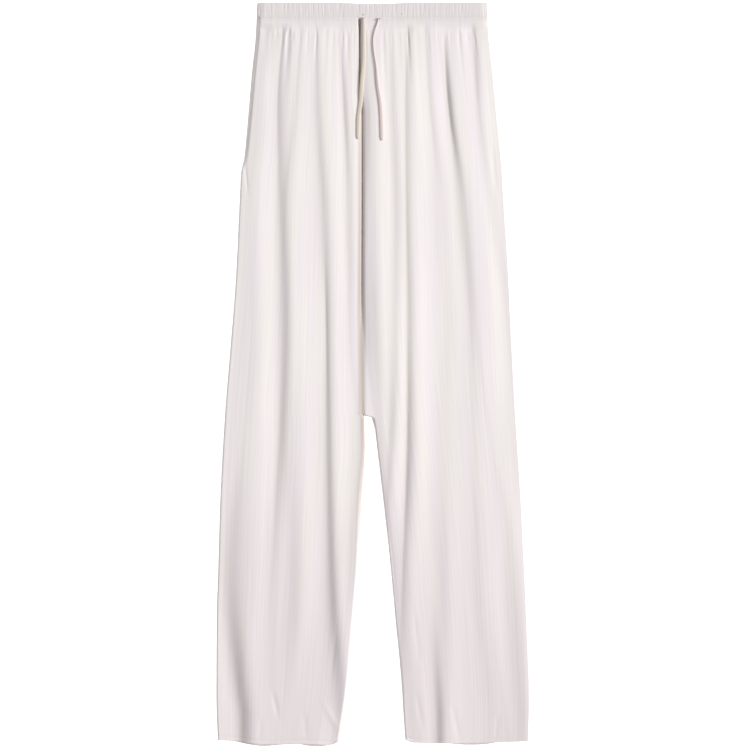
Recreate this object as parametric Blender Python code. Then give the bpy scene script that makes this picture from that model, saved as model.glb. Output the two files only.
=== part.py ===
# Wide-leg drawstring trousers with a gathered elastic waist, laid flat on their back.
# X runs across the garment, with the wearer's right leg at -X. Y runs along it, from the hems at -Y to the
# waist at +Y. Z is up, off the surface that the back rests on. "Down" is the distance below the top of the waist.
# Sizes are in millimetres, and MM turns them into metres.

import math
from collections import namedtuple

import bmesh
import bpy
import numpy as np

MM = 0.001

# Driving sizes
LENGTH = 1050.0
BAND_HEIGHT = 41.0
STITCH_DOWN = 21.8
PANEL_WALL = 1.5
BAND_WALL = 2.2
SEAM_GAP = 0.3
LEGS_PART_DOWN = 574.0
CROTCH_DOWN = 588.0
WIDEST_DOWN = 980.0

# How the cloth stands off the back
LOFT = 11.5
BAND_LOFT = 10.6
SIDE_HEIGHT = 7.0
SIDE_SOFTENING = 45.0
CENTRE_HEIGHT = 10.0
CENTRE_SOFTENING = 11.0
FOLD_TURN = 3.5
FOLD_TURN_STEPS = 3
LOFT_RUN = 45.0
PARTING_RUN = 100.0
SEWN_DROP = 1.2
SEWN_RUN = 40.0
CREASE_WIDTH = 4.5
LIP_SHARE = 0.55
RELIEF_CALM = 9.0

# Gathers, counted across one front panel and across the whole waistband
PANEL_GATHERS = 16
COLUMNS_PER_GATHER = 3
PANEL_GATHER_DEPTH = 2.2
BAND_GATHERS = 56
COLUMNS_PER_WRINKLE = 4
BAND_GATHER_DEPTH = 1.1
BAND_SIDE_SOFTENING = 26.0
WRINKLE_CALM = 6.0
STITCH_SINK = 0.9
STITCH_REACH = 3.0
PANEL_ROWS = 18
ROW_CROWDING = 1.6

# Hems: the front bows down between its corners, and the back shows a little below it
HEM_CORNER = 1041.0
HEM_BOW = 6.5
BACK_HEM_SHOWS = 2.5
HEM_BOW_STARTS = 860.0

# The front of the waist dips beside the middle, so that the back of it shows there
DIP_DEPTH = 3.4
DIP_X = 6.0
DIP_REACH = 42.0

TIE_WIDTH = 6.0
TIE_THICKNESS = 2.0
TIE_CLEARANCE = 0.45
TIE_POINT_SPACING = 11.0

Edge = namedtuple("Edge", "down right left")
SIDE_EDGES = [
    Edge(0, -163.5, 162.0),
    Edge(41, -165.0, 163.5),
    Edge(95, -170.5, 169.0),
    Edge(180, -178.0, 177.5),
    Edge(226, -182.8, 182.0),
    Edge(238, -186.0, 183.0),
    Edge(265, -187.5, 184.5),
    Edge(380, -193.0, 191.5),
    Edge(490, -201.5, 197.0),
    Edge(575, -208.5, 201.5),
    Edge(700, -215.5, 209.5),
    Edge(800, -218.5, 214.5),
    Edge(870, -220.5, 217.5),
    Edge(WIDEST_DOWN, -221.0, 221.0),
    Edge(1050, -218.5, 219.5),
]
# The two inner edges lie together down the centre seam and along the touching thighs, then part
INNER_EDGES = [
    Edge(41, -18.5, -18.5),
    Edge(125, -18.0, -18.0),
    Edge(160, -14.5, -14.5),
    Edge(300, -15.0, -15.0),
    Edge(400, -15.8, -15.8),
    Edge(LEGS_PART_DOWN, -15.0, -15.0),
    Edge(CROTCH_DOWN, -11.6, 0.2),
    Edge(628, -11.0, 5.5),
    Edge(700, -15.5, 14.0),
    Edge(785, -18.5, 23.5),
    Edge(870, -25.5, 31.5),
    Edge(955, -33.0, 39.5),
    Edge(1010, -41.5, 43.0),
    Edge(1050, -49.0, 46.0),
]

# Each fold has a raised lip and a low side that climbs slowly back. low_side is +1 where that lies towards
# +X. across and depth give its place and its depth at each of the stations.
STATIONS_DOWN = (41, 150, 300, 450, 600, 800, 1000)
Fold = namedtuple("Fold", "low_side reach across depth")
FOLDS = {
    "right_side": Fold(-1, 13, (-156, -171, -174, -172, -180, -191, -179), (1, 0.8, 0.7, 0.7, 1.2, 2.6, 3.4)),
    "right_main": Fold(-1, 17, (-125, -131, -127, -124, -128, -139, -144), (2, 3, 3, 2.6, 2.2, 1.8, 1.2)),
    "right_short": Fold(-1, 8, (-101, -110, -122, -122, -122, -122, -122), (2, 1.8, 0.6, 0, 0, 0, 0)),
    "right_inner": Fold(-1, 15, (-80, -78, -68, -65, -63, -60, -46), (2.0, 2.2, 2.8, 3.2, 3.4, 3.2, 2.2)),
    "right_thigh": Fold(-1, 9, (-42, -40, -34, -31, -31, -31, -31), (1.6, 2.2, 2.0, 0.8, 0, 0, 0)),
    "right_calf": Fold(-1, 14, (-111, -111, -111, -111, -111, -111, -127), (0, 0, 0, 0, 0.3, 1, 0.6)),
    "left_crotch": Fold(-1, 9, (4, 4, 2, 5, 9, 28, 30), (0, 0.5, 1.0, 1.2, 1.4, 0.8, 0)),
    "left_thigh": Fold(-1, 9, (25, 29, 32, 30, 25, 21, 21), (1.4, 1.6, 1.8, 1.6, 1.4, 0, 0)),
    "left_inner": Fold(-1, 16, (49, 48, 49, 51, 50, 42, 46), (2.2, 2.8, 3.0, 3.2, 3.4, 2.6, 1.8)),
    "left_middle": Fold(-1, 13, (77, 81, 94, 104, 97, 97, 97), (1.2, 1.2, 1.0, 1.0, 0.8, 0.8, 0.3)),
    "left_hem": Fold(-1, 10, (84, 84, 84, 84, 84, 85, 94), (0, 0, 0, 0, 0, 0.4, 3.0)),
    "left_main": Fold(-1, 14, (108, 108, 128, 137, 141, 146, 172), (2.2, 3.2, 2.0, 1.6, 1.6, 1.8, 1.6)),
    "left_hip": Fold(-1, 10, (142, 148, 173, 190, 195, 195, 195), (2.2, 2.0, 1.6, 1.0, 0.4, 0, 0)),
    "left_side": Fold(-1, 10, (128, 128, 128, 140, 162, 191, 209), (0, 0, 0, 0.4, 1.4, 1.8, 1.4)),
}

# The free ends of the drawstring, from where each leaves the waistband to its tip
TiePoint = namedtuple("TiePoint", "x down")
TIE_ROUTES = {
    "drawstring_right": [
        TiePoint(-12.7, 22.5),
        TiePoint(-12.2, 60.5),
        TiePoint(-11.8, 93.0),
        TiePoint(-13.4, 117.0),
        TiePoint(-15.8, 138.0),
        TiePoint(-19.4, 159.0),
        TiePoint(-20.5, 176.0),
        TiePoint(-20.8, 193.0),
    ],
    "drawstring_left": [
        TiePoint(8.0, 23.8),
        TiePoint(0.1, 54.6),
        TiePoint(0.7, 67.6),
        TiePoint(3.7, 90.0),
        TiePoint(6.5, 119.0),
        TiePoint(9.9, 141.0),
        TiePoint(11.5, 162.0),
        TiePoint(12.7, 195.6),
    ],
}

Finish = namedtuple("Finish", "colour roughness")
CLOTH = Finish((0.80, 0.765, 0.745), 0.62)
BACK_CLOTH = Finish((0.72, 0.685, 0.665), 0.66)
BAND_CLOTH = Finish((0.74, 0.71, 0.695), 0.66)
TIE_CLOTH = Finish((0.76, 0.72, 0.69), 0.60)


def clear_scene():
    for thing in list(bpy.data.objects):
        bpy.data.objects.remove(thing)


def make_material(name, finish):
    material = bpy.data.materials.new(name)
    material.use_nodes = True
    shader = material.node_tree.nodes["Principled BSDF"]
    shader.inputs["Base Color"].default_value = (*finish.colour, 1.0)
    shader.inputs["Roughness"].default_value = finish.roughness
    shader.inputs["Metallic"].default_value = 0.0
    return material


def smooth_step(value):
    share = np.clip(value, 0.0, 1.0)
    return share * share * (3 - 2 * share)


# A smooth line through the values at rising stations, which never swings past a value
def smooth_through(stations, values, at):
    stations = np.asarray(stations, float)
    values = np.asarray(values, float)
    steps = np.diff(stations)
    slopes = np.diff(values) / steps
    before, after = slopes[:-1], slopes[1:]
    same_way = before * after > 0
    joined = 2 * before * after / np.where(same_way, before + after, 1.0)
    tangents = np.concatenate([slopes[:1], np.where(same_way, joined, 0.0), slopes[-1:]])
    place = np.clip(at, stations[0], stations[-1])
    i = np.clip(np.searchsorted(stations, place, side="right") - 1, 0, len(steps) - 1)
    t = (place - stations[i]) / steps[i]
    start = values[i] * (1 + 2 * t) * (1 - t) ** 2 + tangents[i] * steps[i] * t * (1 - t) ** 2
    end = values[i + 1] * t**2 * (3 - 2 * t) - tangents[i + 1] * steps[i] * t**2 * (1 - t)
    return start + end


def edge_x(table, side, down):
    return smooth_through([row.down for row in table], [getattr(row, side) for row in table], down)


# The left and right ends, in X, of one leg's width at a distance down
def leg_span(side, down):
    outer = edge_x(SIDE_EDGES, side, down)
    inner = edge_x(INNER_EDGES, side, down)
    if side == "right":
        return outer, inner - SEAM_GAP / 2
    return inner + SEAM_GAP / 2, outer


def fold_height(x, down):
    height = np.zeros(np.shape(x))
    for fold in FOLDS.values():
        centre = smooth_through(STATIONS_DOWN, fold.across, down)
        depth = smooth_through(STATIONS_DOWN, fold.depth, down)
        away = (x - centre) * fold.low_side
        low = smooth_step(away / CREASE_WIDTH + 0.5)
        swell = depth * np.exp(-((away / fold.reach) ** 2))
        height += swell * (LIP_SHARE * (1 - low) - low)
    return height


# The small gathers under the waist, uneven in depth and in how far down they run
def gather_height(share, down):
    wave = np.floor(share * PANEL_GATHERS)
    depth = PANEL_GATHER_DEPTH * (0.7 + 0.3 * np.sin(2.4 * wave))
    reach = 62 + 34 * np.sin(1.7 * wave + 1.0)
    fade = np.exp(-(((down - BAND_HEIGHT) / reach) ** 2))
    return -depth * fade * (0.5 + 0.5 * np.cos(2 * math.pi * share * PANEL_GATHERS))


# The outer height of a front panel, before its edges turn down
def open_height(side, x, down):
    low_x, high_x = leg_span(side, down)
    outer, inner = (low_x, high_x) if side == "right" else (high_x, low_x)
    from_side, from_inner = np.abs(x - outer), np.abs(x - inner)
    parted = smooth_step((down - CROTCH_DOWN) / PARTING_RUN + 0.8)
    inner_height = CENTRE_HEIGHT + (SIDE_HEIGHT - CENTRE_HEIGHT) * parted
    inner_softening = CENTRE_SOFTENING + (SIDE_SOFTENING - CENTRE_SOFTENING) * parted
    loft = BAND_LOFT + (LOFT - BAND_LOFT) * smooth_step((down - BAND_HEIGHT) / LOFT_RUN)
    side_drop = (loft - SIDE_HEIGHT) * (1 - smooth_step(from_side / SIDE_SOFTENING))
    inner_drop = (loft - inner_height) * (1 - smooth_step(from_inner / inner_softening))
    share = (x - low_x - FOLD_TURN) / (high_x - low_x - 2 * FOLD_TURN)
    relief = fold_height(x, down) + gather_height(np.clip(share, 0, 1), down)
    calm = smooth_step(np.minimum(from_side, from_inner) / RELIEF_CALM)
    return loft - side_drop - np.maximum(inner_drop, 0) + relief * calm


# The outer height of a front panel with its edges turned down onto the back panel
def panel_height(side, x, down):
    low_x, high_x = leg_span(side, down)
    outer, inner = (low_x, high_x) if side == "right" else (high_x, low_x)
    seat = PANEL_WALL + SEAM_GAP
    top = open_height(side, x, down)
    sewn_high = np.maximum(top - SEWN_DROP, seat)
    inner_seat = sewn_high + (seat - sewn_high) * smooth_step((down - BAND_HEIGHT) / SEWN_RUN)
    turned = [(np.abs(x - outer), seat), (np.abs(x - inner), inner_seat)]
    height = top
    for away, floor in turned:
        turn = np.sqrt(1 - (1 - np.clip(away / FOLD_TURN, 0, 1)) ** 2)
        height = np.minimum(height, floor + (top - floor) * turn)
    return height


def columns_across(low_x, high_x, count):
    turn = FOLD_TURN * (1 - np.cos(np.arange(FOLD_TURN_STEPS) * math.pi / 2 / FOLD_TURN_STEPS))
    middle = np.linspace(low_x + FOLD_TURN, high_x - FOLD_TURN, count + 1)
    return np.concatenate([low_x + turn, middle, (high_x - turn)[::-1]])


def hem_drop(share, down):
    reached = smooth_step((down - HEM_BOW_STARTS) / (HEM_CORNER - HEM_BOW_STARTS))
    return HEM_BOW * np.sin(math.pi * share) ** 0.8 * reached


def to_world(x, down, height):
    return np.stack([x * MM, (LENGTH / 2 - down) * MM, height * MM], axis=-1)


def grid_normals(points):
    along = np.gradient(points, axis=0)
    across = np.gradient(points, axis=1)
    normals = np.cross(across, along)
    normals *= np.sign(normals[..., 2:].sum())
    return normals / np.linalg.norm(normals, axis=-1, keepdims=True)


# A closed wall between two grids of points, the outer one above the inner one
def wall_object(name, outer, inner, material):
    rows, columns = outer.shape[:2]
    mesh = bmesh.new()
    top = [[mesh.verts.new(point) for point in row] for row in outer.tolist()]
    bottom = [[mesh.verts.new(point) for point in row] for row in inner.tolist()]
    for r in range(rows - 1):
        for c in range(columns - 1):
            mesh.faces.new((top[r][c], top[r + 1][c], top[r + 1][c + 1], top[r][c + 1]))
            mesh.faces.new((bottom[r][c], bottom[r][c + 1], bottom[r + 1][c + 1], bottom[r + 1][c]))
    rim = [(0, c) for c in range(columns)]
    rim += [(r, columns - 1) for r in range(1, rows)]
    rim += [(rows - 1, c) for c in reversed(range(columns - 1))]
    rim += [(r, 0) for r in reversed(range(1, rows - 1))]
    for (r, c), (next_r, next_c) in zip(rim, rim[1:] + rim[:1]):
        mesh.faces.new((top[r][c], top[next_r][next_c], bottom[next_r][next_c], bottom[r][c]))
    bmesh.ops.recalc_face_normals(mesh, faces=mesh.faces)
    data = bpy.data.meshes.new(name)
    mesh.to_mesh(data)
    mesh.free()
    data.shade_smooth()
    data.set_sharp_from_angle(angle=math.radians(50))
    data.materials.append(material)
    piece = bpy.data.objects.new(name, data)
    bpy.context.scene.collection.objects.link(piece)
    return piece


def row_downs():
    share = np.linspace(0, 1, PANEL_ROWS) ** ROW_CROWDING
    top = BAND_HEIGHT + SEAM_GAP
    even = top + (HEM_CORNER - top) * share
    return np.sort(np.append(even, [LEGS_PART_DOWN, CROTCH_DOWN, WIDEST_DOWN]))


def make_front_panel(side, material):
    points = []
    for down in row_downs():
        low_x, high_x = leg_span(side, down)
        x = columns_across(low_x, high_x, PANEL_GATHERS * COLUMNS_PER_GATHER)
        share = (x - low_x) / (high_x - low_x)
        points.append(to_world(x, down + hem_drop(share, down), panel_height(side, x, down)))
    outer = np.array(points)
    inner = outer - grid_normals(outer) * PANEL_WALL * MM
    inner[..., 2] = np.maximum(inner[..., 2], np.minimum(outer[..., 2], (PANEL_WALL + SEAM_GAP) * MM))
    return wall_object(f"front_panel_{side}", outer, inner, material)


def make_back_panel(side, material):
    points = []
    shares = np.linspace(0, 1, 7)
    downs = np.append(row_downs(), HEM_CORNER + BACK_HEM_SHOWS)
    for down in downs:
        low_x, high_x = leg_span(side, down)
        x = low_x + (high_x - low_x) * shares
        points.append(to_world(x, down + hem_drop(shares, down), np.full(len(x), PANEL_WALL)))
    outer = np.array(points)
    inner = outer * (1, 1, 0)
    return wall_object(f"back_panel_{side}", outer, inner, material)


# How far the wrinkles of the elastic waist stand up at a place along it
def wrinkle_height(x):
    low_x, high_x = SIDE_EDGES[0].right + FOLD_TURN, SIDE_EDGES[0].left - FOLD_TURN
    wave = (x - low_x) / (high_x - low_x) * BAND_GATHERS
    depth = BAND_GATHER_DEPTH * (0.75 + 0.25 * np.sin(1.9 * np.floor(wave)))
    return -depth * (0.5 + 0.5 * np.cos(2 * math.pi * wave))


def band_height(x, down):
    low_x = edge_x(SIDE_EDGES, "right", down)
    high_x = edge_x(SIDE_EDGES, "left", down)
    from_side = np.minimum(x - low_x, high_x - x)
    stitched = STITCH_SINK * math.exp(-(((down - STITCH_DOWN) / STITCH_REACH) ** 2))
    side_drop = (BAND_LOFT - SIDE_HEIGHT - 1) * (1 - smooth_step(from_side / BAND_SIDE_SOFTENING))
    top = BAND_LOFT - stitched - side_drop
    top += wrinkle_height(x) * smooth_step(from_side / WRINKLE_CALM)
    seat = BAND_WALL + SEAM_GAP
    turn = np.sqrt(1 - (1 - np.clip(from_side / FOLD_TURN, 0, 1)) ** 2)
    return seat + (top - seat) * turn


def make_front_band(material):
    points = []
    for down in (0.0, STITCH_DOWN - 5, STITCH_DOWN, BAND_HEIGHT):
        low_x = edge_x(SIDE_EDGES, "right", down)
        high_x = edge_x(SIDE_EDGES, "left", down)
        x = columns_across(low_x, high_x, BAND_GATHERS * COLUMNS_PER_WRINKLE)
        dip = DIP_DEPTH * np.exp(-(((x - DIP_X) / DIP_REACH) ** 2)) * (1 - down / BAND_HEIGHT)
        points.append(to_world(x, down + dip + 0.6 * (down == 0), band_height(x, down)))
    outer = np.array(points)
    plain = outer.copy()
    level = (BAND_LOFT - BAND_GATHER_DEPTH) * MM
    plain[..., 2] = np.minimum(plain[..., 2], level)
    inner = plain - grid_normals(plain) * (BAND_WALL - BAND_GATHER_DEPTH / 2) * MM
    inner[..., 2] = np.maximum(inner[..., 2], (BAND_WALL + SEAM_GAP) * MM)
    return wall_object("waistband_front", outer, inner, material)


def make_back_band(material):
    points = []
    shares = np.linspace(0, 1, 13)
    for down in (0.0, BAND_HEIGHT):
        low_x = edge_x(SIDE_EDGES, "right", down)
        high_x = edge_x(SIDE_EDGES, "left", down)
        x = low_x + (high_x - low_x) * shares
        points.append(to_world(x, np.full(len(x), down), np.full(len(x), BAND_WALL)))
    outer = np.array(points)
    return wall_object("waistband_back", outer, outer * (1, 1, 0), material)


# The highest cloth under a tie at a place along its route
def cloth_under(x, down):
    heights = []
    for step in np.linspace(-0.7, 0.7, 8) * TIE_WIDTH:
        for ahead in (-6.0, -3.0, 0.0, 3.0, 6.0):
            place = down + ahead
            if place < BAND_HEIGHT:
                heights.append(BAND_LOFT)
            else:
                side = "right" if x + step < edge_x(INNER_EDGES, "right", place) else "left"
                heights.append(float(panel_height(side, np.array(x + step), place)))
    return max(heights)


def make_tie(name, material):
    route = TIE_ROUTES[name]
    stations = np.array([point.down for point in route])
    count = round((stations[-1] - stations[0]) / TIE_POINT_SPACING)
    downs = np.linspace(stations[0], stations[-1], count + 1)
    across = smooth_through(stations, [point.x for point in route], downs)
    heights = np.array([cloth_under(x, down) for x, down in zip(across, downs)])
    heights += TIE_CLEARANCE + TIE_THICKNESS / 2
    # A round cord pressed flat: the object is scaled in Z, so its points are stretched first
    flatness = TIE_THICKNESS / TIE_WIDTH
    points = to_world(across, downs, heights / flatness)
    curve = bpy.data.curves.new(name, "CURVE")
    curve.dimensions = "3D"
    curve.bevel_depth = TIE_WIDTH / 2 * MM
    curve.bevel_resolution = 2
    curve.use_fill_caps = True
    spline = curve.splines.new("POLY")
    spline.points.add(len(points) - 1)
    for target, point in zip(spline.points, points.tolist()):
        target.co = (*point, 1.0)
    curve.materials.append(material)
    tie = bpy.data.objects.new(name, curve)
    tie.scale.z = flatness
    bpy.context.scene.collection.objects.link(tie)
    return tie


def main():
    clear_scene()
    for side in ("right", "left"):
        make_front_panel(side, make_material(f"front_cloth_{side}", CLOTH))
        make_back_panel(side, make_material(f"back_cloth_{side}", BACK_CLOTH))
    make_front_band(make_material("waistband_front_cloth", BAND_CLOTH))
    make_back_band(make_material("waistband_back_cloth", BAND_CLOTH))
    for name in TIE_ROUTES:
        make_tie(name, make_material(f"{name}_cloth", TIE_CLOTH))


main()
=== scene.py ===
import math

import bpy
import numpy as np
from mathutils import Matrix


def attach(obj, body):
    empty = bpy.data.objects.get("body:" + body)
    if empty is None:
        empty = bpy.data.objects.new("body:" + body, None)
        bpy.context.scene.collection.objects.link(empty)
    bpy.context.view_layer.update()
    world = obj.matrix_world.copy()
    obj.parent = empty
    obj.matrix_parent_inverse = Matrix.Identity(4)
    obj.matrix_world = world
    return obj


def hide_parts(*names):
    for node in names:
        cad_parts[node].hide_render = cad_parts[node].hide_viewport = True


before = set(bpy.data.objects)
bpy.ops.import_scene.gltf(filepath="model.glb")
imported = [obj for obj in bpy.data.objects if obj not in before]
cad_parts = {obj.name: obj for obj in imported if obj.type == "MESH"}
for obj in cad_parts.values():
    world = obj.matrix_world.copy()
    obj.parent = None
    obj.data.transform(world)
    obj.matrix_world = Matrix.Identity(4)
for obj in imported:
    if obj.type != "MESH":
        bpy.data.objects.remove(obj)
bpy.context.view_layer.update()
bpy.ops.object.select_all(action="DESELECT")
print("frame loaded")

# Drawstring trousers of ivory crepe, laid flat on their back and seen from straight above.
# X runs across from the wearer's right leg to the left one, Y from the hems up to the waist.
# "down" is the distance below the top of the waist. Garment sizes are in millimetres; mm makes them metres.
mm = 0.001
garment = {"length": 1050.0, "bandHeight": 41.0, "stitchDown": 21.8}

# seenWidth is what the frame takes in at the cloth's height, in metres
camera = {"lens": 100.0, "sensor": 36.0, "seenWidth": 1.0556, "centreX": 0.0028, "clothHeight": 0.008}


def makeCamera():
    distance = camera["seenWidth"] * camera["lens"] / camera["sensor"]
    place = (camera["centreX"], 0, camera["clothHeight"] + distance)
    bpy.ops.object.camera_add(location=place, rotation=(0, 0, 0))
    made = bpy.context.object
    made.data.lens = camera["lens"]
    made.data.sensor_width = camera["sensor"]
    bpy.context.scene.camera = made


makeCamera()

# Outline of the legs: each edge's X at a distance down
sideEdges = {
    "down": (0, 41, 95, 180, 226, 238, 265, 380, 490, 575, 700, 800, 870, 980, 1050),
    "right": (-163.5, -165, -170.5, -178, -182.8, -186, -187.5, -193, -201.5, -208.5, -215.5, -218.5, -220.5,
              -221, -218.5),
    "left": (162, 163.5, 169, 177.5, 182, 183, 184.5, 191.5, 197, 201.5, 209.5, 214.5, 217.5, 221, 219.5),
}
innerEdges = {
    "down": (41, 125, 160, 300, 400, 580, 582, 584, 588, 628, 700, 785, 870, 955, 1010, 1050),
    "right": (-18.5, -18, -15, -15.3, -15.8, -15, -13.4, -12.3, -11.8, -11, -15.5, -18.5, -25.5, -33,
              -41.5, -49),
    "left": (-18.5, -18, -15, -15.3, -15.8, -15, -12, -3, 0, 5.5, 14, 23.5, 31.5, 39.5, 43, 46),
}

# How the cloth stands off the back, in height over the floor: the seat of a turned edge, a sewn edge's drop,
# how far in the folds calm, each edge's turn, and how low a full hollow is. Then, at each distance down, the
# height in the middle of a leg (loft), by its side and by its inner edge, and how far in those two soften.
lie = {
    "seat": 1.5, "sewnDrop": 0.35, "calm": 5, "rightTurn": 2.4, "leftTurn": 1.7, "hollowDepth": 2.0,
    "down": (0, 41, 90, 160, 300, 520, 640, 800, 1050),
    "loft": (10.6, 10.6, 11.5, 11.5, 11.5, 11.2, 10.9, 10.4, 9.8),
    "sideHeight": (9.4, 10.2, 10.4, 8.9, 9.7, 9.1, 8.8, 6.5, 6.5),
    "sideSoftening": (12, 10.2, 18, 29, 31.6, 48.6, 60.7, 59, 27.4),
    "innerHeight": (10, 10.3, 10.8, 10.2, 10.8, 10.8, 10.1, 8.9, 7.6),
    "innerSoftening": (11, 8.3, 11.5, 12.4, 9.8, 12.3, 19.8, 27.6, 35),
}
# The left leg's inner line without the round of the crotch
restLine = {"down": (41, 125, 160, 300, 400, 500, 640, 700, 785, 870, 955, 1010, 1050),
            "x": (-18.5, -18, -14.5, -15, -15.8, -12, 6.8, 14, 23.5, 31.5, 39.5, 43, 46)}
# The turned edge of the pocket on the right side: how much of it shows as a flat slope, and how wide
pocketEdge = {"down": (0, 16, 26, 90, 160, 205, 236), "share": (0, 0, 1, 1, 0.7, 0.5, 0), "width": 6,
              "slope": 1.3}

# Each fold is a soft step up towards +X: lip is the share of its depth that stands up on that side, dip the
# share that lies low on the other, fall how gently it rises, reach how far it spreads. Its place, depth and
# softness are given at the stations down. A small softness is a crisp crest.
stations = (41, 150, 300, 450, 600, 800, 1000)
folds = {
    "rightSide": {"lip": 0.7, "dip": 1.6, "fall": 12, "reach": 24,
                  "across": (-150.1, -163, -173.6, -172.1, -181.8, -201.8, -185.1),
                  "depth": (2, 0, 0, 0.2, 0.2, 1.9, 5), "soft": (6.2, 4.3, 0.6, 0.6, 1, 11.6, 7.6)},
    "rightMain": {"lip": 0.59, "dip": 0.95, "fall": 9.9, "reach": 24,
                  "across": (-127.1, -134.2, -131, -126.2, -131, -142.6, -150.2),
                  "depth": (2.3, 2.5, 2.5, 3.2, 3.2, 1.4, 0.1), "soft": (0.6, 1.1, 3.7, 9.1, 3.1, 3.1, 2.9)},
    "rightShort": {"lip": 0.8, "dip": 0.25, "fall": 4, "reach": 22.5,
                   "across": (-101.6, -109.7, -124.3, -122.2, -124.9, -122, -122),
                   "depth": (0.9, 1.2, 2.4, 3.1, 0.9, 0, 0), "soft": (0.6, 3.3, 6.4, 6.3, 5, 4, 4)},
    "rightInner": {"lip": 1.3, "dip": 0.38, "fall": 5.6, "reach": 24,
                   "across": (-80.4, -78.4, -69.2, -65.8, -64.1, -59.2, -42),
                   "depth": (0.6, 1.6, 2.2, 2.3, 3.1, 4.3, 5), "soft": (0.6, 3.6, 4.9, 0.6, 3, 5.8, 12)},
    "rightThigh": {"lip": 0.8, "dip": 0.46, "fall": 6.9, "reach": 10.1,
                   "across": (-46.2, -40.9, -34.5, -34.1, -24.9, -26, -31),
                   "depth": (0.5, 2.3, 2.5, 0.7, 0.4, 0, 0), "soft": (0.6, 0.6, 5.7, 1.8, 3.1, 1.9, 3)},
    "rightCalf": {"lip": 0.83, "dip": 0.56, "fall": 10.8, "reach": 24,
                  "across": (-111, -111, -110.1, -104, -110, -112, -124.9),
                  "depth": (0, 0, 0.7, 1, 1.8, 3.8, 0), "soft": (4, 4, 4.3, 6.9, 11.3, 12, 12)},
    "rightRim": {"lip": 1.3, "dip": 0.42, "fall": 2, "reach": 23.5,
                 "across": (-26, -26, -18.9, -20.3, -16.9, -21.9, -41.2),
                 "depth": (0, 0, 0, 0, 0.9, 4.6, 0), "soft": (3, 3, 3, 3, 5, 12, 12)},
    "leftCrotch": {"lip": 0.99, "dip": 0, "fall": 2.3, "reach": 24,
                   "across": (-0.7, 1.7, 3.6, 7.4, 9.8, 28.7, 41.8),
                   "depth": (0, 3.1, 3, 4.3, 1, 1, 0), "soft": (8.8, 11.5, 12, 10.7, 3.4, 0.6, 0.6)},
    "leftThigh": {"lip": 1.27, "dip": 0.14, "fall": 6.6, "reach": 23.7,
                  "across": (23.2, 26.6, 31.7, 30.4, 25.3, 13.7, 20.9),
                  "depth": (0.6, 2.6, 2.7, 4.4, 3.3, 0, 0), "soft": (0.6, 3.8, 5.5, 8.7, 4.2, 2.7, 1.6)},
    "leftInner": {"lip": 1.23, "dip": 0.35, "fall": 10.8, "reach": 24,
                  "across": (48.2, 45.7, 46.8, 48.9, 48.4, 41.9, 35.2),
                  "depth": (2.6, 2.8, 3, 4.9, 5, 2.3, 0), "soft": (0.6, 1, 0.7, 2.8, 1, 0.6, 2.7)},
    "leftMiddle": {"lip": 0.74, "dip": 0.34, "fall": 7.7, "reach": 19.5,
                   "across": (73.5, 80, 96.5, 104.4, 98.2, 98.2, 105.2),
                   "depth": (2, 2.2, 0.7, 0.6, 0.8, 2.4, 0.5), "soft": (1.4, 1.1, 4.6, 5.1, 12, 8.7, 5)},
    "leftHem": {"lip": 0.72, "dip": 0.73, "fall": 5.1, "reach": 24,
                "across": (84, 84, 84, 84, 84.1, 84, 93),
                "depth": (0, 0, 0, 0, 0, 0, 4.4), "soft": (3, 3, 3, 3, 2.8, 4.8, 5.3)},
    "leftMain": {"lip": 0.54, "dip": 0.84, "fall": 3.4, "reach": 20.6,
                 "across": (98.4, 107.5, 128.7, 137.6, 141.1, 145.8, 167.9),
                 "depth": (0, 3.2, 2.9, 1.1, 0.4, 0.7, 0.8), "soft": (1.6, 1, 7.2, 3.4, 3.5, 4.5, 8)},
    "leftHip": {"lip": 0, "dip": 0.92, "fall": 3.1, "reach": 12.6,
                "across": (140.8, 148.7, 170.6, 192.9, 200.2, 188.4, 192.9),
                "depth": (1.6, 1.5, 2.4, 2.5, 0, 0.4, 0.1), "soft": (0.6, 2.5, 10.9, 11.8, 5.8, 5, 9.6)},
    "leftSide": {"lip": 1.3, "dip": 0.22, "fall": 4, "reach": 24,
                 "across": (128, 128, 136.3, 142.4, 161.5, 199.9, 212),
                 "depth": (0, 0, 0.1, 0.2, 0.2, 2.4, 4.9), "soft": (3, 3, 0.7, 1.1, 1.5, 12, 12)},
}

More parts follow.
